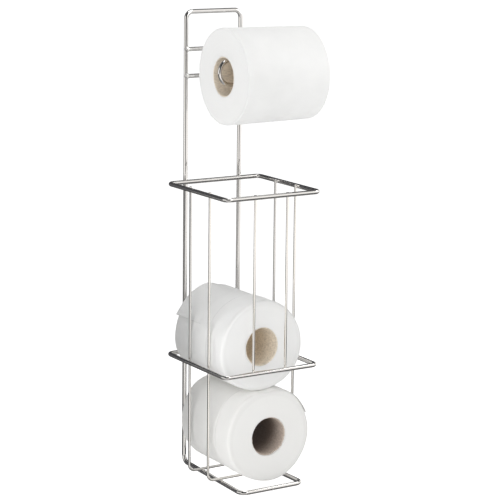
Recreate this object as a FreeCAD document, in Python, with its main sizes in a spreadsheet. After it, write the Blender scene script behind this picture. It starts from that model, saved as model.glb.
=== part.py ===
import FreeCAD
import Part
import Sketcher
import math
import os
from FreeCAD import Placement, Rotation, Vector

# Free-standing chromed wire holder for toilet rolls, with three rolls in place.
# Millimetres. X runs across the holder, Y to its back, Z up from the floor.
# The origin is on the floor, at the centre of the base.
driving_sizes = {
    # wire diameters, and the room left between two welded wires
    "frame_wire": 5.0,
    "rim_wire": 5.0,
    "arm_wire": 4.6,
    "thin_wire": 3.0,
    "weld_gap": 0.1,
    # main frame: one closed wire, overall height, bends at wire centre
    "frame_height": 519.0,
    "leg_spacing": 70.0,
    "base_spread": 79.0,
    "base_depth": 133.0,
    "frame_bend": 8.0,
    # rims: closed wires round the store, sizes at wire centre; the room above the top rim is the arm's
    "rim_width": 118.0,
    "rim_depth": 123.0,
    "rim_bend": 6.0,
    "top_rim_below_top": 191.0,
    "lower_rim_height": 134.0,
    # thin wires of the store
    "cradle_bend": 7.0,
    "front_wire_spacing": 41.0,
    "wire_end_inset": 0.5,
    # roll arm: one hairpin wire, welded to the legs and folded forward
    "arm_below_top": 58.0,
    "arm_rear_spacing": 29.6,
    "arm_front_spacing": 27.0,
    "arm_drop": 5.7,
    "arm_reach": 59.0,
    "arm_turn": 95.0,
    "arm_length": 125.0,
    "arm_bend": 12.0,
    # rolls: paper wound on a cardboard core
    "roll_diameter": 100.0,
    "arm_roll_diameter": 103.0,
    "roll_length": 105.0,
    "roll_edge": 2.0,
    "core_bore": 41.6,
    "core_wall": 1.0,
    "core_gap": 0.1,
    "sheet_lift": 1.2,
    "sheet_root": 3.0,
    "sheet_margin": 0.5,
    # places of the rolls
    "hang_gap": 0.3,
    "rest_gap": 0.3,
    "turn_gap": 13.2,
    "upper_back_gap": 0.5,
    "upper_side_gap": 0.4,
    "lower_back_gap": 10.0,
    "lower_side_shift": 1.5,
    # the loose stretch of the outer sheet, and where it ends, in degrees about each roll's own axis
    "sheet_span_angle": 45.0,
    "arm_sheet_angle": -60.0,
    "upper_sheet_angle": 147.0,
    "lower_sheet_angle": 30.0,
}

document = FreeCAD.newDocument("toilet_roll_holder")
sheet = document.addObject("Spreadsheet::Sheet", "sizes")
for row, (alias, value) in enumerate(driving_sizes.items(), start=1):
    sheet.set(f"A{row}", alias)
    sheet.set(f"B{row}", str(value))
    sheet.setAlias(f"B{row}", alias)
document.recompute()

# Places shared by several pieces, as expressions on the sheet.
top_bar_height = "(sizes.frame_height - sizes.frame_wire / 2)"
leg_half = "(sizes.leg_spacing / 2)"
leg_plane = "(sizes.base_depth / 2)"
rim_back = f"({leg_plane} - (sizes.frame_wire + sizes.rim_wire) / 2 - sizes.weld_gap)"
rim_inset = "((sizes.rim_wire + sizes.thin_wire) / 2 + sizes.weld_gap)"
cradle_half = f"(sizes.rim_width / 2 - {rim_inset})"
cradle_floor = "(sizes.frame_wire + sizes.weld_gap + sizes.thin_wire / 2)"
top_rim_height = "(sizes.frame_height - sizes.top_rim_below_top)"
cradle_top = f"({top_rim_height} + sizes.rim_wire / 2)"
front_wire_foot = "(sizes.lower_rim_height - sizes.rim_wire / 2 + sizes.wire_end_inset)"
front_wire_top = f"({cradle_top} - sizes.wire_end_inset)"
arm_height = "(sizes.frame_height - sizes.arm_below_top)"
arm_rear = f"({leg_plane} - (sizes.frame_wire + sizes.arm_wire) / 2 - sizes.weld_gap)"
arm_front = f"({arm_rear} - sizes.arm_reach)"
arm_front_height = f"({arm_height} - sizes.arm_drop)"
paper_bore = "(sizes.core_bore + 2 * sizes.core_wall + 2 * sizes.core_gap)"
arm_roll_x = "(sizes.arm_turn - sizes.arm_wire / 2 - sizes.turn_gap - sizes.roll_length / 2)"
arm_roll_z = (f"({arm_front_height} + (sizes.arm_front_spacing + sizes.arm_wire) / 2"
              " + sizes.hang_gap - sizes.core_bore / 2)")
stored_roll_y = f"({rim_back} - sizes.rim_wire / 2 - sizes.roll_length / 2)"
upper_roll_x = f"(sizes.upper_side_gap + (sizes.thin_wire + sizes.roll_diameter) / 2 - {cradle_half})"
upper_roll_y = f"({stored_roll_y} - sizes.upper_back_gap)"
lower_roll_y = f"({stored_roll_y} - sizes.lower_back_gap)"
lower_roll_z = f"({cradle_floor} + sizes.thin_wire / 2 + sizes.rest_gap + sizes.roll_diameter / 2)"
upper_roll_z = f"({lower_roll_z} + sizes.roll_diameter + sizes.rest_gap)"

sub_parts = []


def number(expression):
    return float(sheet.evalExpression(expression))


def bind(thing, places):
    for name, expression in places.items():
        thing.setExpression(name, expression)


def add_body(label, places):
    body = document.addObject("PartDesign::Body", label)
    body.Label = label
    bind(body, {f"Placement.Base.{axis}": expression for axis, expression in places.items()})
    sub_parts.append(body)
    return body


def add_sketch(body, role):
    plane = next(plane for plane in body.Origin.OriginFeatures if plane.Role == role)
    sketch = body.newObject("Sketcher::SketchObject", f"{body.Label}_{role}")
    sketch.AttachmentSupport = [(plane, "")]
    sketch.MapMode = "FlatFace"
    return sketch


def constrain(sketch, kind, *picks, name=None, expression=None, start_value=None):
    if expression is None:
        sketch.addConstraint(Sketcher.Constraint(kind, *picks))
        return
    value = number(expression) if start_value is None else start_value
    index = sketch.addConstraint(Sketcher.Constraint(kind, *picks, value))
    sketch.renameConstraint(index, name)
    sketch.setExpression(f"Constraints.{name}", expression)


# A point of a sketch is (curve, end), with end 1 its start, 2 its finish and 3 its centre.
sketch_origin = (-1, 1)


def add_circle(sketch, name, diameter, across=None):
    centre = Vector(number(across) if across else 0, 0, 0)
    circle = sketch.addGeometry(Part.Circle(centre, Vector(0, 0, 1), number(diameter) / 2))
    constrain(sketch, "Diameter", circle, name=name, expression=diameter)
    if across:
        constrain(sketch, "DistanceX", *sketch_origin, circle, 3, name=f"{name}_across", expression=across)
    else:
        constrain(sketch, "Vertical", *sketch_origin, circle, 3)
    constrain(sketch, "Horizontal", *sketch_origin, circle, 3)


def rounded_chain(points, bend, closed):
    # Lines through the points, with each corner turned by a tangent arc.
    corners = range(len(points)) if closed else range(1, len(points) - 1)
    curves = []
    last_end = None if closed else points[0]
    first_start = None
    for corner in corners:
        before, here, after = points[corner - 1], points[corner], points[(corner + 1) % len(points)]
        arriving = (here - before).normalize()
        leaving = (after - here).normalize()
        half_turn = arriving.getAngle(leaving) / 2
        cut = bend * math.tan(half_turn)
        inward = (leaving - arriving).normalize()
        middle = here + inward * (bend / math.cos(half_turn) - bend)
        arc_start = here - arriving * cut
        arc_end = here + leaving * cut
        if last_end is not None:
            curves.append(Part.LineSegment(last_end, arc_start))
        else:
            first_start = arc_start
        curves.append(Part.Arc(arc_start, middle, arc_end))
        last_end = arc_end
    curves.append(Part.LineSegment(last_end, first_start if closed else points[-1]))
    return curves


def add_rounded_path(sketch, points, bend, closed):
    # The chain as sketch geometry: neighbours tangent, level and upright lines, equal bends.
    # The points run counter-clockwise, so every arc starts where the line before it ends.
    curves = rounded_chain(points, number(bend), closed)
    made = sketch.addGeometry(curves)
    followers = made[1:] + made[:1] if closed else made[1:]
    for here, after in zip(made, followers):
        constrain(sketch, "Tangent", here, 2, after, 1)
    lines = [index for index, curve in zip(made, curves) if isinstance(curve, Part.LineSegment)]
    arcs = [index for index in made if index not in lines]
    for index in lines:
        run = sketch.Geometry[index].EndPoint - sketch.Geometry[index].StartPoint
        constrain(sketch, "Horizontal" if abs(run.x) > abs(run.y) else "Vertical", index)
    constrain(sketch, "Radius", arcs[0], name="bend", expression=bend)
    for index in arcs[1:]:
        constrain(sketch, "Equal", arcs[0], index)
    return lines


def add_pipe(body, path, profile):
    pipe = body.newObject("PartDesign::AdditivePipe", f"{body.Label}_pipe")
    pipe.Profile = profile
    pipe.Spine = (path, [f"Edge{index}" for index in range(1, path.GeometryCount + 1)])


def add_rim(label, height):
    # A closed rectangle of thick wire, its back bar against the fronts of the legs.
    body = add_body(label, {"y": f"{rim_back} - sizes.rim_depth / 2", "z": height})
    half_width = number("sizes.rim_width / 2")
    half_depth = number("sizes.rim_depth / 2")
    corners = [Vector(-half_width, -half_depth, 0), Vector(half_width, -half_depth, 0),
               Vector(half_width, half_depth, 0), Vector(-half_width, half_depth, 0)]
    path = add_sketch(body, "XY_Plane")
    front, right, back, left = add_rounded_path(path, corners, "sizes.rim_bend", closed=True)
    constrain(path, "DistanceX", *sketch_origin, right, 1, name="right", expression="sizes.rim_width / 2")
    constrain(path, "DistanceX", left, 1, *sketch_origin, name="left", expression="sizes.rim_width / 2")
    constrain(path, "DistanceY", *sketch_origin, back, 1, name="back", expression="sizes.rim_depth / 2")
    constrain(path, "DistanceY", front, 1, *sketch_origin, name="front", expression="sizes.rim_depth / 2")
    profile = add_sketch(body, "YZ_Plane")
    add_circle(profile, "wire", "sizes.rim_wire", across="-sizes.rim_depth / 2")
    add_pipe(body, path, profile)


def add_cradle_wire(label, third):
    # A U of thin wire: down inside the left of both rims, over the base rails, up the right.
    body = add_body(label, {"y": f"{rim_back} - sizes.rim_depth * {third} / 3"})
    half, floor, top = number(cradle_half), number(cradle_floor), number(cradle_top)
    points = [Vector(-half, top, 0), Vector(-half, floor, 0), Vector(half, floor, 0), Vector(half, top, 0)]
    path = add_sketch(body, "XZ_Plane")
    left, bottom, right = add_rounded_path(path, points, "sizes.cradle_bend", closed=False)
    constrain(path, "DistanceY", *sketch_origin, left, 1, name="top", expression=cradle_top)
    constrain(path, "DistanceX", left, 1, *sketch_origin, name="left", expression=cradle_half)
    constrain(path, "DistanceX", *sketch_origin, right, 2, name="right", expression=cradle_half)
    constrain(path, "DistanceY", *sketch_origin, bottom, 1, name="floor", expression=cradle_floor)
    constrain(path, "Horizontal", left, 1, right, 2)
    profile = add_sketch(body, "XY_Plane")
    profile.AttachmentOffset = Placement(Vector(0, 0, top), Rotation())
    profile.setExpression("AttachmentOffset.Base.z", cradle_top)
    add_circle(profile, "wire", "sizes.thin_wire", across=f"-{cradle_half}")
    add_pipe(body, path, profile)


def add_front_wire(label, side):
    # A straight thin wire inside the front bars, from the lower rim to the top rim.
    wire = document.addObject("Part::Cylinder", label)
    wire.Label = label
    bind(wire, {
        "Radius": "sizes.thin_wire / 2",
        "Height": f"{front_wire_top} - {front_wire_foot}",
        "Placement.Base.x": f"{side} * sizes.front_wire_spacing / 2",
        "Placement.Base.y": f"{rim_back} - sizes.rim_depth + {rim_inset}",
        "Placement.Base.z": front_wire_foot,
    })
    sub_parts.append(wire)


def add_bent_wire(label, curves, wire_size, start, heading):
    # A round wire swept along bends that lie in more than one plane.
    path = document.addObject("Part::Feature", f"{label}_path")
    path.Shape = Part.Wire([curve.toShape() for curve in curves])
    section = document.addObject("Part::Circle", f"{label}_section")
    section.Placement = Placement(start, Rotation(Vector(0, 0, 1), heading))
    section.setExpression("Radius", f"{wire_size} / 2")
    sweep = document.addObject("Part::Sweep", label)
    sweep.Label = label
    sweep.Sections = [section]
    sweep.Spine = (path, [f"Edge{index}" for index in range(1, len(curves) + 1)])
    sweep.Solid = True
    sub_parts.append(sweep)


def add_main_frame():
    # Top bar, two legs, two base rails that spread forward and the front bar, in one loop.
    leg, foot = number(leg_half), number("sizes.base_spread / 2")
    rear, floor, top = number(leg_plane), number("sizes.frame_wire / 2"), number(top_bar_height)
    weld = Vector(0, -rear, floor)
    half_loop = [Vector(foot, -rear, floor), Vector(leg, rear, floor), Vector(leg, rear, top)]
    other_half = [Vector(-point.x, point.y, point.z) for point in reversed(half_loop)]
    points = [weld, *half_loop, *other_half, weld]
    curves = rounded_chain(points, number("sizes.frame_bend"), closed=False)
    add_bent_wire("main_frame", curves, "sizes.frame_wire", weld, Vector(1, 0, 0))


def add_roll_arm():
    # Two strands along the fronts of the legs, folded forward past the right leg and
    # back to the left, where a half-round nose joins them.
    left_end = -number(f"{leg_half} + sizes.frame_wire / 2")
    turn = number("sizes.arm_turn")
    nose = number("sizes.arm_turn - sizes.arm_length + sizes.arm_front_spacing / 2")
    rear, front = number(arm_rear), number(arm_front)
    strands = []
    for side in (1, -1):
        rear_z = number(f"{arm_height} + {side} * sizes.arm_rear_spacing / 2")
        front_z = number(f"{arm_front_height} + {side} * sizes.arm_front_spacing / 2")
        points = [Vector(left_end, rear, rear_z), Vector(turn, rear, rear_z),
                  Vector(turn, front, front_z), Vector(nose, front, front_z)]
        strands.append(points if side > 0 else points[::-1])
    bend = number("sizes.arm_bend")
    upper, lower = (rounded_chain(points, bend, closed=False) for points in strands)
    tip = Vector(number("sizes.arm_turn - sizes.arm_length"), front, number(arm_front_height))
    nose_arc = Part.Arc(strands[0][-1], tip, strands[1][0])
    curves = [*upper, nose_arc, *lower]
    add_bent_wire("roll_arm", curves, "sizes.arm_wire", strands[0][0], Vector(1, 0, 0))


def add_core(label, places, turn):
    # A cardboard tube, its axis along the body's own Y before it is turned into place.
    body = add_body(label, places)
    body.Placement = Placement(body.Placement.Base, turn)
    sketch = add_sketch(body, "XZ_Plane")
    add_circle(sketch, "outside", "sizes.core_bore + 2 * sizes.core_wall")
    add_circle(sketch, "bore", "sizes.core_bore")
    pad = body.newObject("PartDesign::Pad", f"{label}_wall")
    pad.Profile = sketch
    pad.Midplane = True
    pad.setExpression("Length", "sizes.roll_length")


def add_paper(label, places, turn, diameter, sheet_angle, winding):
    # The wound paper as one solid with soft edges, and its outer sheet lifting towards the loose end.
    body = add_body(label, places)
    body.Placement = Placement(body.Placement.Base, turn)
    disc = add_sketch(body, "XZ_Plane")
    add_circle(disc, "outside", diameter)
    add_circle(disc, "bore", paper_bore)
    winding_pad = body.newObject("PartDesign::Pad", f"{label}_winding")
    winding_pad.Profile = disc
    winding_pad.Midplane = True
    winding_pad.setExpression("Length", "sizes.roll_length")
    document.recompute()
    rims = [f"Edge{index}" for index, edge in enumerate(winding_pad.Shape.Edges, start=1)
            if is_circle(edge, number(f"{diameter} / 2"))]
    edges = body.newObject("PartDesign::Fillet", f"{label}_edges")
    edges.Base = (winding_pad, rims)
    edges.setExpression("Radius", "sizes.roll_edge")

    # The loose stretch of the outer sheet is an arc that leaves the winding smoothly at its
    # root, on a line through the roll's centre, and stands off it where the sheet ends in a step.
    loose = add_sketch(body, "XZ_Plane")
    loose.AttachmentOffset = Placement(Vector(0, 0, 0), Rotation(Vector(0, 0, 1), sheet_angle))
    wound = number(f"{diameter} / 2")
    inner = number(f"{diameter} / 2 - sizes.sheet_root")
    lifted = number(f"{diameter} / 2 + sizes.sheet_lift")
    span = winding * math.radians(number("sizes.sheet_span_angle"))
    root_way = Vector(math.cos(span), math.sin(span), 0)
    offset = (lifted**2 - wound**2) / (2 * (wound - lifted * root_way.x))
    centre = root_way * -offset
    step_turn = math.atan2(-centre.y, lifted - centre.x)
    up = Vector(0, 0, 1)
    outer_arc = Part.ArcOfCircle(Part.Circle(centre, up, wound + offset), *sorted((step_turn, span)))
    inner_arc = Part.ArcOfCircle(Part.Circle(Vector(0, 0, 0), up, inner), *sorted((0, span)))
    step = Part.LineSegment(Vector(inner, 0, 0), Vector(lifted, 0, 0))
    root = Part.LineSegment(root_way * inner, root_way * wound)
    outer_arc, inner_arc, step, root = loose.addGeometry([outer_arc, inner_arc, step, root])
    step_end, root_end = (1, 2) if winding > 0 else (2, 1)
    constrain(loose, "Coincident", step, 1, inner_arc, step_end)
    constrain(loose, "Coincident", step, 2, outer_arc, step_end)
    constrain(loose, "Coincident", root, 1, inner_arc, root_end)
    constrain(loose, "Coincident", root, 2, outer_arc, root_end)
    constrain(loose, "Coincident", inner_arc, 3, *sketch_origin)
    constrain(loose, "Horizontal", step)
    constrain(loose, "Horizontal", *sketch_origin, step, 1)
    constrain(loose, "PointOnObject", *sketch_origin, root)
    constrain(loose, "PointOnObject", outer_arc, 3, root)
    constrain(loose, "Angle", root, name="span", start_value=span,
              expression=f"{winding} * sizes.sheet_span_angle * 1 deg")
    constrain(loose, "Radius", inner_arc, name="inner",
              expression=f"{diameter} / 2 - sizes.sheet_root")
    constrain(loose, "Distance", *sketch_origin, root, 2, name="wound",
              expression=f"{diameter} / 2")
    constrain(loose, "DistanceX", *sketch_origin, step, 2, name="lifted",
              expression=f"{diameter} / 2 + sizes.sheet_lift")
    sheet_pad = body.newObject("PartDesign::Pad", f"{label}_sheet")
    sheet_pad.Profile = loose
    sheet_pad.Midplane = True
    sheet_pad.setExpression("Length", "sizes.roll_length - 2 * (sizes.roll_edge + sizes.sheet_margin)")


def is_circle(edge, radius):
    return isinstance(edge.Curve, Part.Circle) and math.isclose(edge.Curve.Radius, radius)


def add_roll(name, places, turn, diameter, sheet_angle, winding):
    add_paper(f"{name}_paper", places, turn, diameter, number(sheet_angle), winding)
    add_core(f"{name}_core", places, turn)


add_main_frame()
add_roll_arm()
add_rim("top_rim", top_rim_height)
add_rim("lower_rim", "sizes.lower_rim_height")
add_cradle_wire("rear_cradle_wire", 1)
add_cradle_wire("front_cradle_wire", 2)
add_front_wire("left_front_wire", -1)
add_front_wire("right_front_wire", 1)

# The roll on the arm lies across, and the two stored rolls lie front to back.
across = Rotation(Vector(0, 0, 1), 90)
front_to_back = Rotation()
add_roll("arm_roll", {"x": arm_roll_x, "y": arm_front, "z": arm_roll_z},
         across, "sizes.arm_roll_diameter", "sizes.arm_sheet_angle", 1)
add_roll("upper_roll", {"x": upper_roll_x, "y": upper_roll_y, "z": upper_roll_z},
         front_to_back, "sizes.roll_diameter", "sizes.upper_sheet_angle", -1)
add_roll("lower_roll", {"x": "sizes.lower_side_shift", "y": lower_roll_y, "z": lower_roll_z},
         front_to_back, "sizes.roll_diameter", "sizes.lower_sheet_angle", 1)

document.recompute()
for thing in document.Objects:
    if "Invalid" in thing.State or "Error" in thing.State:
        raise RuntimeError(f"{thing.Label} failed: {thing.State}")
for part in sub_parts:
    if part.Shape.isNull() or not part.Shape.isValid():
        raise RuntimeError(f"{part.Label} has no valid shape")

os.makedirs("parts", exist_ok=True)
for part in sub_parts:
    part.Shape.exportStep(f"parts/{part.Label}.step")
    print(part.Label, "solids", len(part.Shape.Solids), "volume", round(part.Shape.Volume, 1))
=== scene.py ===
import math

import bmesh
import bpy
from mathutils import Matrix, Vector, noise


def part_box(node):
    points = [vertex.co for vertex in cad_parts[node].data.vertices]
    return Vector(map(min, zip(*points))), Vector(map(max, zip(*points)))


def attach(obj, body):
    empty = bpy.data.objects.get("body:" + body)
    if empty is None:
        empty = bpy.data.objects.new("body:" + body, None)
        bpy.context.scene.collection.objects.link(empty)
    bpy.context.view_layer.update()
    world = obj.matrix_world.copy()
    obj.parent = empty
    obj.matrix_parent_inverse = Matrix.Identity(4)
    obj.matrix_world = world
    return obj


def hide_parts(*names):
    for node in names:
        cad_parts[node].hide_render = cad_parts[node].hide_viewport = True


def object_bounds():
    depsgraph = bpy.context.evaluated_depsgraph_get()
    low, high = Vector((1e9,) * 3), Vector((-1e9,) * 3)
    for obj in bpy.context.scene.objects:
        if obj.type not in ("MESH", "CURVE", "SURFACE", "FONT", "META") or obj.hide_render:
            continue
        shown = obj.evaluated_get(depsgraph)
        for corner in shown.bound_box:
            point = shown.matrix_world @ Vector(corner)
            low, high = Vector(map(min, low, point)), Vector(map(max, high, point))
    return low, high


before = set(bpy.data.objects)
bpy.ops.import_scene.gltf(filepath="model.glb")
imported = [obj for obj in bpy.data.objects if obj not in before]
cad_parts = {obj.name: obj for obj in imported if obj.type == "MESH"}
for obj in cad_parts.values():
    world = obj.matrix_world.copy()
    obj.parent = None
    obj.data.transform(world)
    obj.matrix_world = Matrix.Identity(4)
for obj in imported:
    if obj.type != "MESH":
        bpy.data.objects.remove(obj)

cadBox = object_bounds()
scene = bpy.context.scene


# Small helpers for node trees

def addNode(tree, kind, inputs=None, **settings):
    node = tree.nodes.new(kind)
    for name, value in settings.items():
        setattr(node, name, value)
    for socket, value in (inputs or {}).items():
        if isinstance(value, bpy.types.NodeSocket):
            tree.links.new(value, node.inputs[socket])
        else:
            node.inputs[socket].default_value = value
    return node


def addGroup(name, inputs, outputs):
    group = bpy.data.node_groups.new(name, "ShaderNodeTree")
    for label, (kind, value) in inputs.items():
        socket = group.interface.new_socket(label, in_out="INPUT", socket_type=kind)
        if value is not None:
            socket.default_value = value
    for label, kind in outputs.items():
        group.interface.new_socket(label, in_out="OUTPUT", socket_type=kind)
    return group, group.nodes.new("NodeGroupInput"), group.nodes.new("NodeGroupOutput")


def useGroup(tree, group, inputs):
    return addNode(tree, "ShaderNodeGroup", inputs, node_tree=group)


def addMath(tree, operation, *values, clamp=False):
    inputs = {index: value for index, value in enumerate(values)}
    return addNode(tree, "ShaderNodeMath", inputs, operation=operation, use_clamp=clamp).outputs[0]


def addRange(tree, value, low, high, toLow, toHigh, smooth=False):
    kind = "SMOOTHSTEP" if smooth else "LINEAR"
    limits = {"Value": value, "From Min": low, "From Max": high, "To Min": toLow, "To Max": toHigh}
    return addNode(tree, "ShaderNodeMapRange", limits, interpolation_type=kind).outputs[0]


def mixColours(tree, factor, first, second):
    return addNode(tree, "ShaderNodeMix", {0: factor, 6: first, 7: second}, data_type="RGBA").outputs[2]


def newMaterial(name, shaderInputs):
    material = bpy.data.materials.new(name)
    material.use_nodes = True
    shader = material.node_tree.nodes["Principled BSDF"]
    for socket, value in shaderInputs.items():
        shader.inputs[socket].default_value = value
    return material, material.node_tree, shader


def objectPoint(tree):
    return addNode(tree, "ShaderNodeTexCoord").outputs["Object"]


# Cloudy change over a surface: smudges on chrome, tone in paper and board
def mottleGroup():
    inputs = {"Vector": ("NodeSocketVector", None), "Scale": ("NodeSocketFloat", 40.0),
              "Low": ("NodeSocketFloat", 0.0), "High": ("NodeSocketFloat", 1.0)}
    group, source, result = addGroup("mottle", inputs, {"Value": "NodeSocketFloat"})
    cloud = addNode(group, "ShaderNodeTexNoise", {"Vector": source.outputs["Vector"],
                    "Scale": source.outputs["Scale"], "Detail": 5.0, "Roughness": 0.6})
    spread = addNode(group, "ShaderNodeMapRange", {"Value": cloud.outputs[0], "From Min": 0.3, "From Max": 0.7,
                     "To Min": source.outputs["Low"], "To Max": source.outputs["High"]})
    group.links.new(spread.outputs[0], result.inputs["Value"])
    return group


# Fibres of paper and board: fine grain, stretched along one axis of the vector that comes in
def fibreGroup():
    inputs = {"Vector": ("NodeSocketVector", None), "Stretch": ("NodeSocketVector", (1, 1, 1)),
              "Detail": ("NodeSocketFloat", 3.0)}
    group, source, result = addGroup("fibre", inputs, {"Height": "NodeSocketFloat"})
    factors = {0: source.outputs["Vector"], 1: source.outputs["Stretch"]}
    stretched = addNode(group, "ShaderNodeVectorMath", factors, operation="MULTIPLY")
    grain = addNode(group, "ShaderNodeTexNoise", {"Vector": stretched.outputs[0], "Scale": 1.0,
                    "Detail": source.outputs["Detail"], "Roughness": 0.55})
    group.links.new(grain.outputs[0], result.inputs["Height"])
    return group


mottle = mottleGroup()
fibre = fibreGroup()


# Chrome of the thick wires, the thin wires and the welds, with smudges in its roughness. The thin wires and the
# welds get paler chrome than the thick wires, as painted reflection of the brighter light they mirror. The rear
# cradle wire is thin, but gets the darker chrome of the thick ones as painted shade.
chromeLook = {"thick": (0.80, 0.785, 0.77, 1), "thin": (0.95, 0.925, 0.89, 1), "weld": (0.98, 0.97, 0.95, 1),
              "smooth": {"thick": 0.03, "thin": 0.03, "weld": 0.3}, "spread": 0.06, "smudgeScale": 90.0}


def chromeMaterial(gauge):
    material, tree, shader = newMaterial(f"{gauge}Chrome", {"Base Color": chromeLook[gauge], "Metallic": 1.0})
    smooth = chromeLook["smooth"][gauge]
    smudge = useGroup(tree, mottle, {"Vector": objectPoint(tree), "Scale": chromeLook["smudgeScale"],
                      "Low": smooth, "High": smooth + chromeLook["spread"]})
    tree.links.new(smudge.outputs[0], shader.inputs["Roughness"])
    return material


chrome = chromeMaterial("thick")
# painted reflection: the thin wires' and the welds' chrome is paler than the thick wires'
paintedReflectionChrome = chromeMaterial("thin")
weldChrome = chromeMaterial("weld")
wireNodes = {"main_frame": chrome, "roll_arm": chrome, "top_rim": chrome, "lower_rim": chrome,
             "rear_cradle_wire": chrome, "front_cradle_wire": paintedReflectionChrome, "left_front_wire": paintedReflectionChrome,
             "right_front_wire": paintedReflectionChrome}
for name, finish in wireNodes.items():
    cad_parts[name].material_slots[0].material = finish
print("chrome on", len(wireNodes), "wires")


# Small helpers for meshes
tolerance = {"merge": 1e-6, "level": 1e-7, "face": 1e-5}


def smoothStep(low, high, value):
    share = min(max((value - low) / (high - low), 0), 1)
    return share * share * (3 - 2 * share)


def softLimit(value, limit, soft):
    over = value - limit + soft
    return value if over < 0 else limit - soft * math.exp(-over / soft)


def alongCurve(curve, share):
    for (first, low), (second, high) in zip(curve, curve[1:]):
        if share <= second:
            return low + (high - low) * smoothStep(first, second, share)
    return curve[-1][1]


def ringSection(bm, inner, outer, half):
    corners = [bm.verts.new((radius, along, 0)) for radius, along in
               ((inner, -half), (outer, -half), (outer, half), (inner, half))]
    for first, second in zip(corners, corners[1:] + corners[:1]):
        bm.edges.new((first, second))
    return corners


def cutLongEdges(bm, edges, step):
    for edge in edges:
        cuts = int(edge.calc_length() / step)
        if cuts:
            bmesh.ops.subdivide_edges(bm, edges=[edge], cuts=cuts)


def spinProfile(bm, turns, axis=(0, 1, 0)):
    bmesh.ops.spin(bm, geom=bm.verts[:] + bm.edges[:], cent=(0, 0, 0), axis=axis, angle=2 * math.pi,
                   steps=turns, use_merge=True)
    bmesh.ops.remove_doubles(bm, verts=bm.verts[:], dist=tolerance["merge"])
    bmesh.ops.recalc_face_normals(bm, faces=bm.faces[:])


# Welds: a small bead in the corner where two wires cross, a dome on each end of the arm, and a collar where the
# ends of the base wire meet
wires = {"legX": 0.035, "legFront": 0.06395, "rimHeights": (0.328, 0.134), "armHeights": (0.4758, 0.4462),
         "armY": 0.0616, "armEnd": 0.0012, "sideX": 0.05645, "cradleY": (0.0204, -0.0206), "frontX": 0.0205,
         "frontY": -0.05905, "railTop": 0.00505, "railX": (0.0366, 0.0380), "barY": -0.0665,
         "barHeight": 0.0025}
beadShape = {"thick": 0.0027, "thin": 0.0019, "flat": 0.0009, "endDome": 0.0029, "uneven": 0.12, "lumps": 1.6}
beadSeeds = {"rimLeg": 90, "rimFront": 70, "rimSide": 50, "along": 300, "armLeg": 80, "rail": 500, "armEnd": 60}


def weldBeads():
    whole = bmesh.new()

    def addBead(place, radii, seed):
        rough = bmesh.ops.create_icosphere(whole, subdivisions=3, radius=1)["verts"]
        for vert in rough:
            lump = noise.noise(vert.co * beadShape["lumps"] + Vector((seed, 0, 0)))
            vert.co *= 1 + beadShape["uneven"] * lump
            vert.co = Vector(place) + Vector(side * radius for side, radius in zip(vert.co, radii))

    thick, thin, flat, dome = (beadShape[key] for key in ("thick", "thin", "flat", "endDome"))
    for side in (-1, 1):
        leg, front, cradle = side * wires["legX"], side * wires["frontX"], side * wires["sideX"]
        for height in wires["rimHeights"]:
            addBead((leg, wires["legFront"], height), (thick, flat, thick), height * beadSeeds["rimLeg"] + side)
            addBead((front, wires["frontY"], height), (thin, flat, thin), height * beadSeeds["rimFront"] + side)
            for along in wires["cradleY"]:
                seed = height * beadSeeds["rimSide"] + along * beadSeeds["along"] + side
                addBead((cradle, along, height), (flat, thin, thin), seed)
        for height in wires["armHeights"]:
            addBead((leg, wires["legFront"], height), (thick, flat, thick), height * beadSeeds["armLeg"] + side)
        for along, across in zip(wires["cradleY"], wires["railX"]):
            place = (side * across, along, wires["railTop"])
            addBead(place, (thin, thin, flat), along * beadSeeds["rail"] + side)
    for height in wires["armHeights"]:
        end = (-wires["legX"] - wires["armEnd"], wires["armY"], height)
        addBead(end, (dome, dome, dome), height * beadSeeds["armEnd"])
    return whole


collarShape = {"profile": ((-0.0011, 0.0024), (-0.0008, 0.00262), (-0.0003, 0.0027), (0.0003, 0.00268),
                           (0.0008, 0.0026), (0.0011, 0.0024)), "turns": 32, "inBox": 0.00001}


def buttCollar():
    bm = bmesh.new()
    profile = [bm.verts.new((along, 0, radius)) for along, radius in collarShape["profile"]]
    for first, second in zip(profile, profile[1:]):
        bm.edges.new((first, second))
    spinProfile(bm, collarShape["turns"], axis=(1, 0, 0))
    for vert in bm.verts:
        vert.co += Vector((0, wires["barY"], wires["barHeight"]))
        vert.co.y = max(vert.co.y, cadBox[0].y + collarShape["inBox"])
        vert.co.z = max(vert.co.z, collarShape["inBox"])
    return bm
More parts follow.
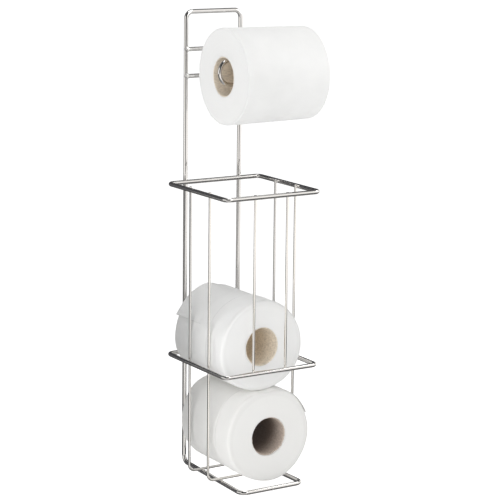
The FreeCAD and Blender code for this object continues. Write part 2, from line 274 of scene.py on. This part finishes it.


# The rolls: each is wound paper with a loose outer sheet, on a cardboard core. A roll is modelled along Y about
# the origin, front at -Y, and then turned and moved onto its CAD solid. Angles are in degrees about its axis, and
# a bulge has an angle, a height and a width. The loose sheet ends at sheetAngle. lifts is where it starts to stand
# off, from -1 at the front to 1 at the back, and backCurve how far it does so at the back, as share of its span
# and height. pressed lists the sides, -1 below and 1 above, where the front band is no prouder than the rest.
# litEndPaint is painted light: how much paler the board is made at its front end, where light reaches into the
# bore.
rolls = {
    "arm_roll": {"turn": 90, "sheetAngle": -60, "sheetSpan": 45, "winding": 1, "bandDepth": None,
                 "seed": 3.0, "edge": 0.0013, "flare": 0.0008, "onTop": None, "rearFree": 0, "squash": 0.0,
                 "bulges": ((90, 0.0008, 70), (270, 0.0003, 60), (212, 0.0010, 35)), "pressed": (),
                 "frontLift": 0.0012, "frontSink": 0.0, "lifts": -0.5, "backCurve": ((0, 0), (1, 0.0012)),
                 "recess": 0.0006, "paper": (0.91, 0.91, 0.90), "board": (0.85, 0.77, 0.655),
                 "litEndPaint": (1, 1, 1)},
    "upper_roll": {"turn": 0, "sheetAngle": 157, "sheetSpan": 73, "winding": -1, "bandDepth": 0.0355,
                   "seed": 11.0, "edge": 0.0042, "flare": 0.0, "onTop": None, "rearFree": 1, "squash": 0.05,
                   "bulges": ((-18, 0.0022, 40), (80, 0.0007, 45), (205, 0.0026, 24)), "pressed": (-1,),
                   "frontLift": 0.00012, "frontSink": 0.0006, "lifts": -0.1,
                   "backCurve": ((0, 0), (0.11, 0.0017), (0.20, 0.0031), (0.33, 0.0033), (0.5, 0.0027),
                                 (0.82, 0.0021), (0.93, 0.0027), (1, 0.0031)),
                   "recess": 0.0008, "paper": (0.89, 0.89, 0.88), "board": (0.81, 0.735, 0.62),
                   "litEndPaint": (1, 1, 1)},
    # the lower roll's board colour is dark as painted shade deep in its bore, and its front end is painted paler
    # as light
    "lower_roll": {"turn": 0, "sheetAngle": 22, "sheetSpan": 45, "winding": 1, "bandDepth": 0.0285,
                   "seed": 23.0, "edge": 0.0036, "flare": 0.0, "onTop": "upper_roll", "rearFree": 0, "squash": 0.0,
                   "bulges": ((0, 0.0019, 50), (180, 0.0015, 55), (58, 0.0030, 22), (130, 0.0032, 24),
                              (286, 0.0024, 28)),
                   "pressed": (-1,), "frontLift": 0.0014, "frontSink": 0.0, "lifts": -0.5,
                   "backCurve": ((0, 0), (1, 0.0006)), "recess": 0.0032, "paper": (0.88, 0.875, 0.855),
                   "board": (0.20, 0.155, 0.13), "litEndPaint": (3.1, 3.4, 3.5)},
}


def rollPlace(name):
    low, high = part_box(f"{name}_core")
    centre = (low + high) / 2
    paperLow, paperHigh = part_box(f"{name}_paper")
    across = 1 if rolls[name]["turn"] else 0
    along = 1 - across
    reach = []
    for axis in (across, 2):
        reach += [centre[axis] - paperLow[axis], paperHigh[axis] - centre[axis]]
    matrix = Matrix.Translation(centre) @ Matrix.Rotation(math.radians(rolls[name]["turn"]), 4, "Z")
    return {"centre": centre, "matrix": matrix, "half": (high[along] - low[along]) / 2,
            "coreRadius": (high.z - low.z) / 2, "radius": min(reach)}


places = {name: rollPlace(name) for name in rolls}


def moveInRollFrame(vert, radial, axial, turn=0):
    radius = math.hypot(vert.co.x, vert.co.z) + radial
    angle = math.atan2(vert.co.z, vert.co.x) + turn
    vert.co = Vector((radius * math.cos(angle), vert.co.y + axial, radius * math.sin(angle)))


# How far the winding's side stands off its CAD radius: bulges, a little out of round, and a band at the front
# that stands proud of the rest, with a crease behind it
paperShape = {"faceStep": 0.0011, "sideStep": 0.0018, "turns": 240, "coreGap": 0.0001, "edgeShare": 0.3,
              "outOfRound": 0.0002, "inward": 0.3, "lumps": {"round": 1.4, "along": 14},
              "ripples": {"round": 5, "along": 45, "share": 0.4},
              "bandProud": 0.0011, "bandStep": 0.0006, "bandWander": 0.0012, "wanderRound": 1.2,
              "pressedFrom": (0.7, 0.95), "creaseDepth": 0.0009, "creaseWidth": 0.0009, "creaseCuts": 6,
              "creaseCutShare": 0.5, "dish": 0.0004, "layerDepth": 0.00012,
              "layers": {"fine": 900, "tilt": 0.6, "coarse": 300, "round": 2.5, "share": 0.5, "inward": 0.8}}


def sideSwell(spec, half, way, along):
    seed, lumps, ripples = spec["seed"], paperShape["lumps"], paperShape["ripples"]
    soft = noise.noise(way * lumps["round"] + Vector((0, seed, along * lumps["along"])))
    soft += ripples["share"] * noise.noise(way * ripples["round"] + Vector((seed, 0, along * ripples["along"])))
    swell = paperShape["outOfRound"] * (soft - paperShape["inward"]) + spec["flare"] * along / half
    angle = math.degrees(math.atan2(way.y, way.x))
    for middle, height, width in spec["bulges"]:
        off = (angle - middle + 180) % 360 - 180
        swell += height * math.exp(-(off / width) ** 2)
    if spec["bandDepth"]:
        wander = paperShape["bandWander"] * noise.noise(way * paperShape["wanderRound"] + Vector((0, 0, seed)))
        behind = along + half - spec["bandDepth"] - wander
        free = 1 - sum(smoothStep(*paperShape["pressedFrom"], side * way.y) for side in spec["pressed"])
        step = paperShape["bandStep"]
        swell += paperShape["bandProud"] * free * (1 - smoothStep(-step, step, behind))
        swell -= paperShape["creaseDepth"] * math.exp(-(behind / paperShape["creaseWidth"]) ** 2)
    return swell


# The stored rolls lie between the cradle's wires, so beside these their paper goes no further out. In front of
# the wires it has more room, and so has the upper roll's paper behind them. The lower roll's paper gives way
# under the upper roll.
storeShape = {"reach": 0.0532, "freeReach": 0.0028, "soft": 0.0012, "front": (-0.038, -0.026),
              "back": (0.022, 0.050), "wireTop": 0.0083, "apart": 0.0001}


def keepInStore(vert, spec, place):
    if spec["turn"]:
        return
    middle = place["centre"]
    along = vert.co.y + middle.y
    free = 1 - smoothStep(*storeShape["front"], along)
    free += spec["rearFree"] * smoothStep(*storeShape["back"], along)
    across = vert.co.x + middle.x
    reach = storeShape["reach"] + storeShape["freeReach"] * free
    vert.co.x = math.copysign(softLimit(abs(across), reach, storeShape["soft"]), across) - middle.x
    vert.co.z = max(vert.co.z, storeShape["wireTop"] * (1 - free) - middle.z)
    if spec["onTop"]:
        above = places[spec["onTop"]]
        off = above["centre"] - middle
        room = (above["radius"] + storeShape["apart"]) ** 2 - (vert.co.x - off.x) ** 2
        if room > 0:
            vert.co.z = min(vert.co.z, off.z - math.sqrt(room))


def woundPaper(spec, place):
    bm = bmesh.new()
    inner, outer, half = place["coreRadius"] + paperShape["coreGap"], place["radius"], place["half"]
    corners = ringSection(bm, inner, outer, half)
    bmesh.ops.bevel(bm, geom=corners[1:3], offset=spec["edge"], offset_type="OFFSET", segments=9,
                    profile=0.5, affect="VERTICES", material=-1)
    level = [edge for edge in bm.edges if abs(edge.verts[0].co.x - edge.verts[1].co.x) < tolerance["level"]]
    upright = [edge for edge in bm.edges if abs(edge.verts[0].co.y - edge.verts[1].co.y) < tolerance["level"]]
    cutLongEdges(bm, level, paperShape["sideStep"])
    cutLongEdges(bm, upright, paperShape["faceStep"])
    if spec["bandDepth"]:
        cuts, apart = paperShape["creaseCuts"], paperShape["creaseCutShare"] * paperShape["creaseWidth"]
        for step in range(-cuts, cuts + 1):
            bmesh.ops.bisect_plane(bm, geom=bm.verts[:] + bm.edges[:], dist=tolerance["merge"],
                                   plane_no=(0, 1, 0), plane_co=(0, spec["bandDepth"] - half + step * apart, 0))
    spinProfile(bm, paperShape["turns"])

    seed, layers = spec["seed"], paperShape["layers"]
    edge = paperShape["edgeShare"] * spec["edge"]
    for vert in bm.verts:
        radius = math.hypot(vert.co.x, vert.co.z)
        if radius < inner + tolerance["merge"]:
            vert.co.x *= 1 - spec["squash"]
            continue
        way = Vector((vert.co.x, vert.co.z, 0)) / radius
        end = smoothStep(half - edge, half - tolerance["face"], abs(vert.co.y))
        side = smoothStep(inner, outer - edge, radius)
        # layers of the winding stand a little unevenly, and the face is dished towards the core
        layer = noise.noise(Vector((radius * layers["fine"], seed, way.y * layers["tilt"])))
        coarse = way * layers["round"] + Vector((seed, 0, radius * layers["coarse"]))
        layer += layers["share"] * noise.noise(coarse)
        sunk = paperShape["dish"] * smoothStep(outer, inner, radius)
        sunk += paperShape["layerDepth"] * (layers["inward"] + layer)
        axial = -math.copysign(end * sunk, vert.co.y)
        moveInRollFrame(vert, side * sideSwell(spec, half, way, vert.co.y), axial)
        keepInStore(vert, spec, place)
    return bm


# The loose sheet: rooted in the winding, with a slightly torn last row
sheetShape = {"sink": 0.0004, "sinkSpan": 0.15, "margin": 0.0014, "cuts": 96, "steps": 48,
              "thickness": 0.00025, "liftSpan": 0.35, "flutter": 0.25, "flutterAlong": 3.1, "flutterRound": 1.7,
              "teeth": 0.004, "teethAlong": 60, "lastRow": 0.99}


def looseSheet(spec, place):
    bm = bmesh.new()
    half = place["half"] - sheetShape["margin"]
    root = math.radians(spec["sheetAngle"] + spec["winding"] * spec["sheetSpan"])
    span = math.radians(spec["sheetSpan"]) * spec["winding"]
    ends = [bm.verts.new((place["radius"], along, 0)) for along in (-half, half)]
    edge = bm.edges.new(ends)
    bmesh.ops.subdivide_edges(bm, edges=[edge], cuts=sheetShape["cuts"])
    bmesh.ops.rotate(bm, cent=(0, 0, 0), matrix=Matrix.Rotation(-root, 3, "Y"), verts=bm.verts[:])
    bmesh.ops.spin(bm, geom=bm.verts[:] + bm.edges[:], cent=(0, 0, 0), axis=(0, 1, 0), angle=span,
                   steps=sheetShape["steps"], use_merge=False)
    seed, lifts = spec["seed"], spec["lifts"]
    for vert in bm.verts:
        angle = math.atan2(vert.co.z, vert.co.x)
        share = abs((angle - root + math.pi) % (2 * math.pi) - math.pi) / abs(span)
        along = vert.co.y / half
        way = Vector((math.cos(angle), math.sin(angle), 0))
        toBack = smoothStep(lifts, 1, along)
        lift = spec["frontLift"] * share ** 2 * (1 - toBack) + alongCurve(spec["backCurve"], share) * toBack
        lift -= spec["frontSink"] * (1 - smoothStep(lifts, lifts + sheetShape["liftSpan"], along))
        wave = Vector((along * sheetShape["flutterAlong"], share * sheetShape["flutterRound"], seed))
        lift *= 1 + sheetShape["flutter"] * noise.noise(wave)
        lift -= sheetShape["sink"] * (1 - smoothStep(0, sheetShape["sinkSpan"], share))
        lift += sideSwell(spec, place["half"], way, vert.co.y)
        teeth = 0
        if share > sheetShape["lastRow"]:
            teeth = sheetShape["teeth"] * noise.noise(Vector((along * sheetShape["teethAlong"], seed, 0)))
        moveInRollFrame(vert, lift, 0, teeth)
        keepInStore(vert, spec, place)
    bmesh.ops.recalc_face_normals(bm, faces=bm.faces[:])
    bmesh.ops.solidify(bm, geom=bm.faces[:], thickness=sheetShape["thickness"])
    bmesh.ops.recalc_face_normals(bm, faces=bm.faces[:])
    return bm


# The core: a tube with unevenly cut ends and the groove of its spiral seam inside
coreShape = {"wall": 0.001, "bevelShare": 0.3, "step": 0.0016, "turns": 160, "seamLead": 0.092,
             "seamWidth": 0.0012, "seamDepth": 0.00018, "cutDepth": 0.012,
             "ragged": {"slow": 1.5, "fast": 7, "fastShare": 0.35, "endSeed": 5, "inward": 0.6}}


def boardTube(spec, place):
    bm = bmesh.new()
    outer, half = place["coreRadius"], place["half"]
    inner = outer - coreShape["wall"]
    corners = ringSection(bm, inner, outer, half)
    bmesh.ops.bevel(bm, geom=corners, offset=coreShape["wall"] * coreShape["bevelShare"], offset_type="OFFSET",
                    segments=2, profile=0.5, affect="VERTICES", material=-1)
    cutLongEdges(bm, [edge for edge in bm.edges if edge.calc_length() > half], coreShape["step"])
    spinProfile(bm, coreShape["turns"])
    seed, ragged, lead = spec["seed"], coreShape["ragged"], coreShape["seamLead"]
    for vert in bm.verts:
        radius = math.hypot(vert.co.x, vert.co.z)
        angle = math.atan2(vert.co.z, vert.co.x)
        cutEnd = smoothStep(half - coreShape["cutDepth"], half, abs(vert.co.y))
        way = Vector((math.cos(angle), math.sin(angle), 0))
        endSeed = seed + math.copysign(ragged["endSeed"], vert.co.y)
        uneven = noise.noise(way * ragged["slow"] + Vector((0, 0, endSeed)))
        uneven += ragged["fastShare"] * noise.noise(way * ragged["fast"] + Vector((0, 0, seed)))
        axial = -math.copysign(spec["recess"] * cutEnd * max(ragged["inward"] + uneven, 0), vert.co.y)
        turns = angle / (2 * math.pi) + vert.co.y / lead
        offSeam = abs(turns - round(turns)) * lead / coreShape["seamWidth"]
        seam = math.exp(-offSeam * offSeam) * smoothStep(outer, inner, radius)
        moveInRollFrame(vert, coreShape["seamDepth"] * seam, axial)
        vert.co.x *= 1 - spec["squash"]
    return bm


def addObject(name, bm, material):
    mesh = bpy.data.meshes.new(name)
    bm.to_mesh(mesh)
    bm.free()
    mesh.materials.append(material)
    piece = bpy.data.objects.new(name, mesh)
    scene.collection.objects.link(piece)
    return piece


def finishPiece(name, meshes, place, material, slot, body, *nodes):
    whole = bmesh.new()
    passing = bpy.data.meshes.new("passing")
    for bm in meshes:
        bm.to_mesh(passing)
        whole.from_mesh(passing)
        bm.free()
    bpy.data.meshes.remove(passing)
    bmesh.ops.transform(whole, matrix=place, verts=whole.verts[:])
    for face in whole.faces:
        face.smooth = True
    piece = addObject(name, whole, material)
    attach(piece, body)
    if nodes:
        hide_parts(*nodes)


finishPiece("weld_beads", [weldBeads(), buttCollar()], Matrix.Identity(4), weldChrome, "chrome_wire", "holder")
print("welds placed")


# Tissue: crepe ridges along the roll on its side, wound layers on its faces, painted shade along the crease behind
# the front band and very slightly behind it, and a rim between side and face painted slightly darker as shade.
# Ranges near the edge are in shares of its rounding.
tissueLook = {"crepe": (2300.0, 160.0, 2300.0), "crepeHeight": 0.00012, "layerScale": 260.0,
              "layerHeight": 0.00008, "roughness": 0.95, "sheen": 0.1, "shade": 0.94, "ringShade": 0.5,
              "softness": 0.12, "softDepth": 0.003, "softColour": (1.0, 0.97, 0.94),
              "rearShade": 0.99, "rearStep": 0.0008, "creaseShade": 0.8, "creaseWidth": 0.002,
              "edgeShade": 0.965, "faceFrom": (0.6, 0.1), "rimAlong": (1.1, 0.5), "rimRound": (1.4, 0.6)}


def rollPoint(tree, place):
    mapping = addNode(tree, "ShaderNodeMapping", {"Vector": objectPoint(tree), "Location": place["centre"],
                      "Rotation": place["matrix"].to_euler()}, vector_type="TEXTURE")
    return mapping.outputs[0]


def tissueMaterial(name, spec, place):
    material, tree, shader = newMaterial(f"{name}Tissue", {"Roughness": tissueLook["roughness"],
                                         "Sheen Weight": tissueLook["sheen"],
                                         "Subsurface Weight": tissueLook["softness"],
                                         "Subsurface Radius": tissueLook["softColour"],
                                         "Subsurface Scale": tissueLook["softDepth"]})
    point = rollPoint(tree, place)
    split = addNode(tree, "ShaderNodeSeparateXYZ", {0: point})
    fromMiddle = addMath(tree, "ABSOLUTE", split.outputs["Y"])
    half, edge = place["half"], spec["edge"]

    def fadeToEdge(value, limit, shares):
        low, high = (limit - share * edge for share in shares)
        return addRange(tree, value, low, high, 0.0, 1.0, smooth=True)

    def dim(colour, factor):
        return addNode(tree, "ShaderNodeVectorMath", {0: colour, "Scale": factor}, operation="SCALE").outputs[0]

    face = fadeToEdge(fromMiddle, half, tissueLook["faceFrom"])
    crepe = useGroup(tree, fibre, {"Vector": point, "Stretch": tissueLook["crepe"], "Detail": 4.0})
    layers = addNode(tree, "ShaderNodeTexWave", {"Vector": point, "Scale": tissueLook["layerScale"],
                     "Distortion": 2.2, "Detail": 3.0, "Detail Scale": 0.6},
                     wave_type="RINGS", rings_direction="Y")
    crepeHeight = addMath(tree, "MULTIPLY", crepe.outputs[0], tissueLook["crepeHeight"])
    layerHeight = addMath(tree, "MULTIPLY", layers.outputs["Fac"], tissueLook["layerHeight"])
    height = addNode(tree, "ShaderNodeMix", {0: face, 2: crepeHeight, 3: layerHeight}, data_type="FLOAT")
    bump = addNode(tree, "ShaderNodeBump", {"Height": height.outputs[0], "Strength": 0.6, "Distance": 1.0})
    tree.links.new(bump.outputs[0], shader.inputs["Normal"])
    tone = useGroup(tree, mottle, {"Vector": point, "Scale": 22.0, "Low": 0.0, "High": 1.0})
    white = (*spec["paper"], 1)
    shaded = (*[channel * tissueLook["shade"] for channel in spec["paper"]], 1)
    side = mixColours(tree, tone.outputs[0], white, shaded)
    # painted shade: the paper is darkened along the crease line, and very slightly behind the front band
    if spec["bandDepth"]:
        behind = addMath(tree, "ADD", split.outputs["Y"], half - spec["bandDepth"])
        step = tissueLook["rearStep"]
        rear = addRange(tree, behind, -step, step, 1.0, tissueLook["rearShade"], smooth=True)
        crease = addRange(tree, addMath(tree, "ABSOLUTE", behind), 0.0, tissueLook["creaseWidth"],
                          tissueLook["creaseShade"], 1.0, smooth=True)
        side = dim(side, addMath(tree, "MULTIPLY", rear, crease))
    ring = addRange(tree, layers.outputs["Fac"], 0.0, 1.0, 0.0, tissueLook["ringShade"])
    whole = mixColours(tree, face, side, mixColours(tree, ring, white, shaded))
    radius = addMath(tree, "SQRT", addMath(tree, "ADD", addMath(tree, "POWER", split.outputs["X"], 2.0),
                                           addMath(tree, "POWER", split.outputs["Z"], 2.0)))
    # painted shade: the rounded rim between side and face is darkened slightly, against the light its rounding
    # catches
    rim = addMath(tree, "MULTIPLY", fadeToEdge(fromMiddle, half, tissueLook["rimAlong"]),
                  fadeToEdge(radius, place["radius"], tissueLook["rimRound"]))
    paintedRimShade = dim(whole, addRange(tree, rim, 0.0, 1.0, 1.0, tissueLook["edgeShade"]))
    tree.links.new(paintedRimShade, shader.inputs["Base Color"])
    return material


# Board: flecked grey-brown pulp with a dark line along the spiral seam, and painted light at the front end if the
# roll
# asks for it: there the board is made paler, where light reaches into the bore
boardLook = {"fibres": (700.0, 350.0, 700.0), "fibreHeight": 0.0002, "dark": 0.72, "pale": 1.18,
             "roughness": 0.85, "fleckRange": (0.35, 0.65), "fleckShare": 0.6, "cloudShare": 0.4,
             "seamWidth": 0.018, "seamShare": 0.5, "endDepth": 0.034}


def boardMaterial(name, spec, place):
    material, tree, shader = newMaterial(f"{name}Board", {"Roughness": boardLook["roughness"]})
    point = rollPoint(tree, place)
    split = addNode(tree, "ShaderNodeSeparateXYZ", {0: point})
    angle = addMath(tree, "ARCTAN2", split.outputs["Z"], split.outputs["X"])
    turns = addMath(tree, "DIVIDE", angle, 2 * math.pi)
    wound = addMath(tree, "ADD", turns, addMath(tree, "DIVIDE", split.outputs["Y"], coreShape["seamLead"]))
    offSeam = addMath(tree, "PINGPONG", wound, 0.5)
    seam = addRange(tree, offSeam, 0.0, boardLook["seamWidth"], boardLook["seamShare"], 0.0, smooth=True)
    pulp = useGroup(tree, fibre, {"Vector": point, "Stretch": boardLook["fibres"], "Detail": 6.0})
    cloud = useGroup(tree, mottle, {"Vector": point, "Scale": 60.0, "Low": 0.0,
                     "High": boardLook["cloudShare"]})
    dark, pale = ((*[channel * boardLook[key] for channel in spec["board"]], 1) for key in ("dark", "pale"))
    fleck = addRange(tree, pulp.outputs[0], *boardLook["fleckRange"], 0.0, boardLook["fleckShare"])
    body = mixColours(tree, addMath(tree, "ADD", fleck, cloud.outputs[0], clamp=True), dark, pale)
    seamed = mixColours(tree, seam, body, dark)
    # painted light: the board is made paler towards its front end
    depth = addMath(tree, "ADD", split.outputs["Y"], place["half"])
    nearEnd = addRange(tree, depth, 0.0, boardLook["endDepth"], 1.0, 0.0, smooth=True)
    paler = addNode(tree, "ShaderNodeVectorMath", {0: seamed, 1: spec["litEndPaint"]}, operation="MULTIPLY")
    tree.links.new(mixColours(tree, nearEnd, seamed, paler.outputs[0]), shader.inputs["Base Color"])
    height = addMath(tree, "MULTIPLY", pulp.outputs[0], boardLook["fibreHeight"])
    bump = addNode(tree, "ShaderNodeBump", {"Height": height, "Strength": 0.5, "Distance": 1.0})
    tree.links.new(bump.outputs[0], shader.inputs["Normal"])
    return material


for name, spec in rolls.items():
    place = places[name]
    finishPiece(f"{name}_winding", [woundPaper(spec, place), looseSheet(spec, place)], place["matrix"],
                tissueMaterial(name, spec, place), "tissue_paper", name, f"{name}_paper")
    finishPiece(f"{name}_tube", [boardTube(spec, place)], place["matrix"],
                boardMaterial(name, spec, place), "core_board", name, f"{name}_core")
    print(name, "wound, radius", round(place["radius"], 4), "length", round(2 * place["half"], 4))


# Pale floor, round the object on all sides, white to the camera and softer as a light
floorLook = {"radius": 14.0, "white": (0.6, 0.6, 0.6, 1), "grey": (0.57, 0.57, 0.57, 1), "glow": 0.486,
             "seenGlow": 0.4}


def paleFloor():
    bm = bmesh.new()
    bmesh.ops.create_circle(bm, cap_ends=True, segments=96, radius=floorLook["radius"])
    material, tree, shader = newMaterial("paleFloor", {"Roughness": 0.9, "Emission Color": (1, 1, 1, 1)})
    cloud = useGroup(tree, mottle, {"Vector": objectPoint(tree), "Scale": 2.0, "Low": 0.0, "High": 1.0})
    tone = mixColours(tree, cloud.outputs[0], floorLook["white"], floorLook["grey"])
    tree.links.new(tone, shader.inputs["Base Color"])
    seen = addNode(tree, "ShaderNodeLightPath").outputs["Is Camera Ray"]
    glow = addMath(tree, "MULTIPLY_ADD", seen, floorLook["seenGlow"], floorLook["glow"])
    tree.links.new(glow, shader.inputs["Emission Strength"])
    floor = addObject("floor", bm, material)
    floor.visible_glossy = False


paleFloor()


# Grey cards at the left, out of the picture: one shades the backs of the stored rolls, and the other is beside
# the legs and only mirrored
cards = {"shadeCard": {"x": -0.125, "y": (0.004, 0.100), "z": (0.0005, 0.2375), "grey": 0.27,
                       "mirrored": False},
         "legFlag": {"x": -0.12, "y": (-0.025, 0.11), "z": (0.115, 0.32), "grey": 0.3, "mirrored": True}}
feltShares = (0.94, 1.06)


def addCard(name, card):
    bm = bmesh.new()
    bmesh.ops.create_grid(bm, x_segments=1, y_segments=1, size=0.5)
    bmesh.ops.rotate(bm, cent=(0, 0, 0), matrix=Matrix.Rotation(math.pi / 2, 3, "Y"), verts=bm.verts[:])
    (front, back), (low, high) = card["y"], card["z"]
    bmesh.ops.scale(bm, vec=(1, back - front, high - low), verts=bm.verts[:])
    bmesh.ops.translate(bm, vec=(card["x"], (front + back) / 2, (low + high) / 2), verts=bm.verts[:])
    material, tree, shader = newMaterial(name, {"Roughness": 0.9})
    felt = useGroup(tree, mottle, {"Vector": objectPoint(tree), "Scale": 300.0, "Low": 0.0, "High": 1.0})
    tones = [(*[card["grey"] * share] * 3, 1) for share in feltShares]
    tree.links.new(mixColours(tree, felt.outputs[0], *tones), shader.inputs["Base Color"])
    piece = addObject(name, bm, material)
    piece.visible_camera = False
    piece.visible_glossy = card["mirrored"]
    piece.visible_diffuse = piece.visible_shadow = not card["mirrored"]


for name, card in cards.items():
    addCard(name, card)


# Studio: soft panels far away light the paper. The chrome mirrors white walls, a dark ceiling, a grey ground, a
# dark end behind with a glow at level, low dark sides, and the dark viewer as a narrow column and a wide one.
panels = {"back": {"way": (0, 0.966, 0.259), "strength": 1.45},
          "left": {"way": (-0.966, 0, 0.259), "strength": 0.65},
          "frontLeft": {"way": (-0.683, -0.683, 0.259), "strength": 1.08}}
panelEdge = (0.62, 1.0)
mirrored = {"white": (1.10, 1.085, 1.06, 1), "dark": (0.07, 0.07, 0.075, 1), "glow": (0.15, 0.15, 0.16, 1),
            "ceiling": (0.14, 0.14, 0.14, 1), "ground": (0.36, 0.355, 0.35, 1), "low": (0.12, 0.12, 0.12, 1),
            "viewer": (0.03, 0.03, 0.03, 1), "viewerWay": (-0.53, -0.85, 0), "acrossWay": (0.85, -0.53, 0)}
edges = {"ceilingUp": (0.25, 0.55), "ceilingBack": (-0.55, -0.1), "groundUp": (-0.45, -0.75),
         "glowUp": (0.05, 0.2), "endBack": (0.45, 0.75), "lowUp": (-0.19, -0.25), "lowSide": (0.45, 0.6),
         "narrowSide": (0.18, 0.38), "narrowAhead": (0.0, 0.3), "narrowUp": (-0.24, -0.14),
         "wideSide": (0.42, 0.62), "wideAhead": (0.2, 0.4), "wideUp": (-0.17, -0.07), "viewerTop": (0.85, 0.98)}


def towards(tree, way, aim):
    return addNode(tree, "ShaderNodeVectorMath", {0: way, 1: aim}, operation="DOT_PRODUCT").outputs["Value"]


def studioWorld():
    world = bpy.data.worlds.new("studio")
    scene.world = world
    world.use_nodes = True
    tree = world.node_tree
    tree.nodes.clear()

    def fadeIn(value, edge, smooth=True):
        return addRange(tree, value, *edges[edge], 0.0, 1.0, smooth=smooth)

    def fadeOut(value, edge):
        return addRange(tree, value, *edges[edge], 1.0, 0.0, smooth=True)

    def both(first, second):
        return addMath(tree, "MULTIPLY", first, second)

    way = addNode(tree, "ShaderNodeTexCoord").outputs["Generated"]
    total = 0.0
    for panel in panels.values():
        lit = addRange(tree, towards(tree, way, panel["way"]), *panelEdge, 0.0, panel["strength"], smooth=True)
        total = addMath(tree, "ADD", total, lit)
    light = addNode(tree, "ShaderNodeBackground", {"Color": (1, 1, 1, 1), "Strength": total})
    split = addNode(tree, "ShaderNodeSeparateXYZ", {0: way})
    back, up = split.outputs["Y"], split.outputs["Z"]
    ahead = towards(tree, way, mirrored["viewerWay"])
    offSide = addMath(tree, "ABSOLUTE", towards(tree, way, mirrored["acrossWay"]))
    level = fadeOut(addMath(tree, "ABSOLUTE", up), "glowUp")
    end = mixColours(tree, level, mirrored["dark"], mirrored["glow"])
    over = both(fadeIn(up, "ceilingUp"), fadeIn(back, "ceilingBack"))
    walls = mixColours(tree, over, mirrored["white"], mirrored["ceiling"])
    walls = mixColours(tree, fadeIn(up, "groundUp"), walls, mirrored["ground"])
    walls = mixColours(tree, fadeIn(back, "endBack"), walls, end)
    walls = mixColours(tree, both(fadeIn(up, "lowUp"), fadeIn(offSide, "lowSide")), walls, mirrored["low"])
    narrow = both(fadeOut(offSide, "narrowSide"), fadeIn(up, "narrowUp"))
    narrow = both(narrow, fadeIn(ahead, "narrowAhead"))
    wide = both(fadeOut(offSide, "wideSide"), fadeIn(up, "wideUp"))
    wide = both(wide, fadeIn(ahead, "wideAhead", smooth=False))
    viewer = both(addMath(tree, "MAXIMUM", narrow, wide), fadeOut(up, "viewerTop"))
    room = addNode(tree, "ShaderNodeBackground", {"Color": mixColours(tree, viewer, walls, mirrored["viewer"]),
                   "Strength": 1.0})
    seen = addNode(tree, "ShaderNodeBackground", {"Color": (1, 1, 1, 1), "Strength": 1.0})
    path = addNode(tree, "ShaderNodeLightPath")
    glossy = addNode(tree, "ShaderNodeMixShader", {0: path.outputs["Is Glossy Ray"], 1: light.outputs[0],
                     2: room.outputs[0]})
    whole = addNode(tree, "ShaderNodeMixShader", {0: path.outputs["Is Camera Ray"], 1: glossy.outputs[0],
                    2: seen.outputs[0]})
    output = addNode(tree, "ShaderNodeOutputWorld")
    tree.links.new(whole.outputs[0], output.inputs["Surface"])


studioWorld()


# Softboxes near the object, of which the chrome mirrors only some
softboxes = {
    "frontBox": {"place": (0.15, -0.75, 0.75), "aimZ": 0.45, "size": 0.3, "power": 1.02, "mirrored": True},
    "topBox": {"place": (0.0, -0.15, 1.25), "aimZ": 0.45, "size": 0.6, "power": 2.78, "mirrored": True},
    "rightBox": {"place": (0.7, -0.3, 0.8), "aimZ": 0.45, "size": 0.4, "power": 2.0, "mirrored": True},
    "rightLowBox": {"place": (0.5, -0.5, 0.2), "aimZ": 0.2, "size": 0.3, "power": 0.53, "mirrored": False},
    "leftBox": {"place": (-0.75, 0.0, 0.65), "aimZ": 0.45, "size": 0.35, "power": 0.88, "mirrored": False},
    "nearBox": {"place": (-0.22, -0.2, 0.17), "aimZ": 0.17, "size": 0.12, "power": 0.134, "mirrored": False},
}
for name, box in softboxes.items():
    light = bpy.data.lights.new(name, "AREA")
    light.size = box["size"]
    light.energy = box["power"]
    lamp = bpy.data.objects.new(name, light)
    lamp.location = box["place"]
    aim = Vector((0, 0, box["aimZ"])) - Vector(box["place"])
    lamp.rotation_euler = aim.to_track_quat("-Z", "Y").to_euler()
    lamp.visible_glossy = box["mirrored"]
    scene.collection.objects.link(lamp)
scene.view_settings.view_transform = "Standard"
scene.cycles.diffuse_bounces = 12
print("studio lit by", len(softboxes), "softboxes")

# Camera: heading right of straight ahead, dip below level and tilt about its own axis, in degrees
shot = {"place": (-1.08703, -1.74548, 0.67591), "heading": 32.136, "dip": 11.48, "tilt": 0.679, "lens": 136.85,
        "sensor": 36}
cameraData = bpy.data.cameras.new("camera")
cameraData.lens = shot["lens"]
cameraData.sensor_width = shot["sensor"]
camera = bpy.data.objects.new("camera", cameraData)
scene.collection.objects.link(camera)
heading, dip, tilt = (math.radians(shot[key]) for key in ("heading", "dip", "tilt"))
camera.matrix_world = (Matrix.Translation(shot["place"]) @ Matrix.Rotation(-heading, 4, "Z")
                       @ Matrix.Rotation(math.pi / 2 - dip, 4, "X") @ Matrix.Rotation(tilt, 4, "Z"))
scene.camera = camera
